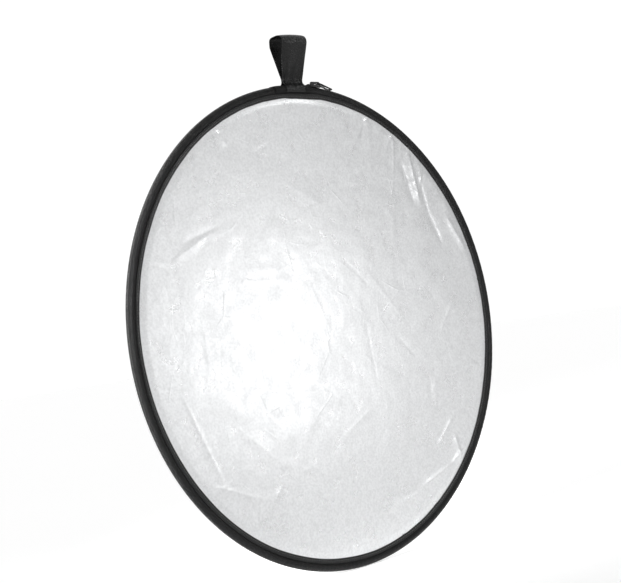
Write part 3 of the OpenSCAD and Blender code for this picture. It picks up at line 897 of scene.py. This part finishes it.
def make_strap():
    """The ribbon of the hanging loop, as one piece across the line where it bends."""
    path, even = ribbon_path()
    # Places across the ribbon, closer together at its edges
    spread = 0.92
    u = np.sin(np.linspace(-math.pi / 2, math.pi / 2, 30) * spread) / math.sin(math.pi / 2 * spread)
    points, normals = ribbon_surface(u, path, np.arange(len(path)))
    # The edges are rounded, with a selvedge that is a little thicker
    edge, selvedge = np.sqrt(np.clip(1 - np.abs(u) ** 14, 0.08, 1)), 1 + 0.22 * (np.abs(u) > 0.93)
    thick = RIBBON_T / 2 * edge * selvedge
    upper = points + normals * thick[None, :, None]
    lower = (points - normals * thick[None, :, None])[:, ::-1]
    loop = np.concatenate([upper, lower], 1)
    wide = np.concatenate([u, u[::-1]]) * STRAP_W / 2 * MM
    uvs = np.stack(np.broadcast_arrays(wide[None, :], (even * MM)[:, None]), -1).reshape(-1, 2)
    strap = mesh_object("hanging_ribbon", loop.reshape(-1, 3), tube_faces(*loop.shape[:2]), uvs)
    dress(strap, RIBBON)
    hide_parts("strap_loop", "strap_tails")
    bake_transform(strap)
    make_bartack(path)


def make_bartack(path):
    """The row of stitches across the root, on both legs, lying in the gathers."""
    count = 9
    u = np.linspace(-0.88, 0.88, count)
    middle = len(path) // 2
    away = np.abs(path[:, 1] - (ROOT_Z + TACK_ABOVE_ROOT))
    rows = np.array([np.argmin(away[:middle]), middle + np.argmin(away[middle:])])
    points, _ = ribbon_surface(u, path, rows)
    centres, normals = [], []
    for row, out in ((0, -1.0), (1, 1.0)):
        spots = points[row].copy()
        spots[:, 1] += out * (RIBBON_T / 2 + 0.16)
        centres.append(spots)
        normals.append(np.tile([0.0, out, 0.0], (count, 1)))
    along = np.tile([1.0, 0.0, 0.0], (2 * count, 1))
    tack = capsules("ribbon_stitches", np.concatenate(centres), along, np.concatenate(normals), 2.5, 0.24,
                    sag=0.3)
    finish_piece(tack, "strap", "thread", THREAD, "strap_bartack")


def patch_section(angle):
    """A cover of doubled tape over the ends of the zip, swelling a little and turned under at its ends."""
    turn = np.radians(np.linspace(-128, 128, 40))[None, :]
    from_right = (angle - angle[0])[:, None] * DISC_R
    ends = np.minimum((angle - angle[0]), (angle[-1] - angle))[:, None] * DISC_R
    puff = 0.25 * np.sin(np.clip(ends / 6, 0, 1) * math.pi / 2)
    puff = puff + wobble(angle, 31, (60, 97), (0.07, 0.05))[:, None]
    # The right end is lifted into a lip, most in the middle of the rim
    middle = np.cos(np.clip(turn * 1.1, -math.pi / 2, math.pi / 2)) ** 2
    lip = 2.6 * np.clip(1 - from_right / 7, 0, 1) ** 1.7 * middle
    outer = COIL_R + 0.55 + puff + 0.12 * np.cos(turn * 5) * np.clip(ends / 4, 0, 1) + lip
    inner = COIL_R + 0.2 + lip + 0 * outer
    return shell_section(outer, inner, turn)


def make_patch():
    """The patch under the loop, as long as its CAD node."""
    reach = DISC_R + 0.8
    start, stop = (math.degrees(math.acos(side("strap_patch", corner, 0) / reach)) for corner in (1, 0))
    patch = ring_mesh("strap_cover_patch", patch_section, 90, start, stop)
    finish_piece(patch, "disc", "hem_tape", COVER, "strap_patch")


# ---------------------------------------------------------------- stage, light and camera

def make_stage():
    """A pale matt floor, just under the disc, that glows a little so that it goes white as in the photo."""
    size, floor_z = 14.0, cad_box[0][2] - 0.0005
    mesh = bpy.data.meshes.new("floor")
    corners = [(x * size, y * size, floor_z) for x, y in ((-1, -1), (1, -1), (1, 1), (-1, 1))]
    mesh.from_pydata(corners, [], [[0, 1, 2, 3]])
    floor = bpy.data.objects.new("floor", mesh)
    bpy.context.scene.collection.objects.link(floor)
    material, tree, shader = new_material("pale_floor")
    where = node(tree, "ShaderNodeTexCoord").outputs["Object"]
    cloud = node(tree, "ShaderNodeTexNoise", {}, Vector=where, Scale=3.0, Detail=2.0)
    tree.links.new(colour_mix(tree, cloud.outputs[0], grey(0.9), grey(0.93)), shader.inputs["Base Color"])
    shader.inputs["Roughness"].default_value = 0.9
    shader.inputs["Specular IOR Level"].default_value = 0.1
    shader.inputs["Emission Color"].default_value = (1, 1, 1, 1)
    shader.inputs["Emission Strength"].default_value = 0.44
    dress(floor, material)


def make_world():
    """A soft room: bright behind the disc, fairly bright in front on the right, and dim elsewhere."""
    world = bpy.data.worlds.new("studio")
    bpy.context.scene.world = world
    world.use_nodes = True
    tree = world.node_tree
    where = node(tree, "ShaderNodeTexCoord").outputs["Generated"]
    level = 0.14
    # Each glow: its direction, the cosines of the angles where it starts and where it is full, and its level
    glows = [((0.0, 1.0, 0.0), -0.05, 0.4, 0.90), ((0.5, -0.866, 0.0), 0.2, 1.0, 0.625)]
    for towards, low, high, amount in glows:
        facing = node(tree, "ShaderNodeVectorMath", {"operation": "DOT_PRODUCT"}, i0=where, i1=towards)
        glow = node(tree, "ShaderNodeMapRange", {"interpolation_type": "SMOOTHSTEP"},
                    i0=facing.outputs["Value"], i1=low, i2=high, i3=0.0, i4=amount)
        level = math_node(tree, "ADD", glow.outputs[0], level)
    colour = node(tree, "ShaderNodeCombineColor", {}, i0=level, i1=level, i2=level)
    background = tree.nodes["Background"]
    tree.links.new(colour.outputs[0], background.inputs["Color"])
    background.inputs["Strength"].default_value = 1.0


def soft_light(name, place, target, width, height, power, spread=180):
    """A rectangular light aimed at a target. Lengths are in metres, power in watts and spread in degrees."""
    data = bpy.data.lights.new(name, "AREA")
    data.shape = "RECTANGLE"
    data.size, data.size_y = width, height
    data.energy = power
    data.spread = math.radians(spread)
    lamp = bpy.data.objects.new(name, data)
    bpy.context.scene.collection.objects.link(lamp)
    lamp.location = place
    lamp.rotation_mode = "QUATERNION"
    lamp.rotation_quaternion = (Vector(target) - Vector(place)).to_track_quat("-Z", "Y")


def make_lights():
    """A narrow key and a tall fill from the right, and small lights for the top hem and the left rim."""
    soft_light("key_softbox", (1.21, -1.58, 0.0), (-0.1, 0, 0), width=0.15, height=0.45, power=1.1)
    soft_light("fill_softbox", (1.45, -1.9, 0.15), (-0.05, 0, 0.05), width=0.3, height=1.5, power=0.45)
    soft_light("top_softbox", (1.25, -1.03, 1.24), (0, 0, 0.33), width=0.25, height=0.25, power=0.2,
               spread=30)
    soft_light("side_softbox", (-1.45, -0.33, 0.45), (-0.28, 0, 0.07), width=0.3, height=0.3, power=2.6,
               spread=30)


def make_camera():
    """The photo's view: level, from the left, turned so that the disc leans."""
    azimuth, elevation, roll = math.radians(-42.64), math.radians(-0.1), math.radians(-8.6)
    distance, aim = 1.616, Vector((-0.0124, 0.0097, 0.0410))
    place = distance * Vector((math.sin(azimuth) * math.cos(elevation),
                               -math.cos(azimuth) * math.cos(elevation), math.sin(elevation)))
    data = bpy.data.cameras.new("camera")
    data.lens, data.sensor_width = 81.16, 36
    camera = bpy.data.objects.new("camera", data)
    bpy.context.scene.collection.objects.link(camera)
    facing = (aim - place).to_track_quat("-Z", "Y").to_matrix()
    turned = facing @ Matrix.Rotation(roll, 3, "Z")
    camera.matrix_world = Matrix.Translation(place) @ turned.to_4x4()
    bpy.context.scene.camera = camera


make_camera()
make_world()
make_lights()
make_stage()
for cad_name, look in CAD_LOOKS.items():
    dress(frame["nodes"][cad_name], look)
make_rim()
make_faces()
make_zip()
make_slider()
make_pull()
make_patch()
make_strap()
bpy.context.scene.view_settings.view_transform = "Standard"
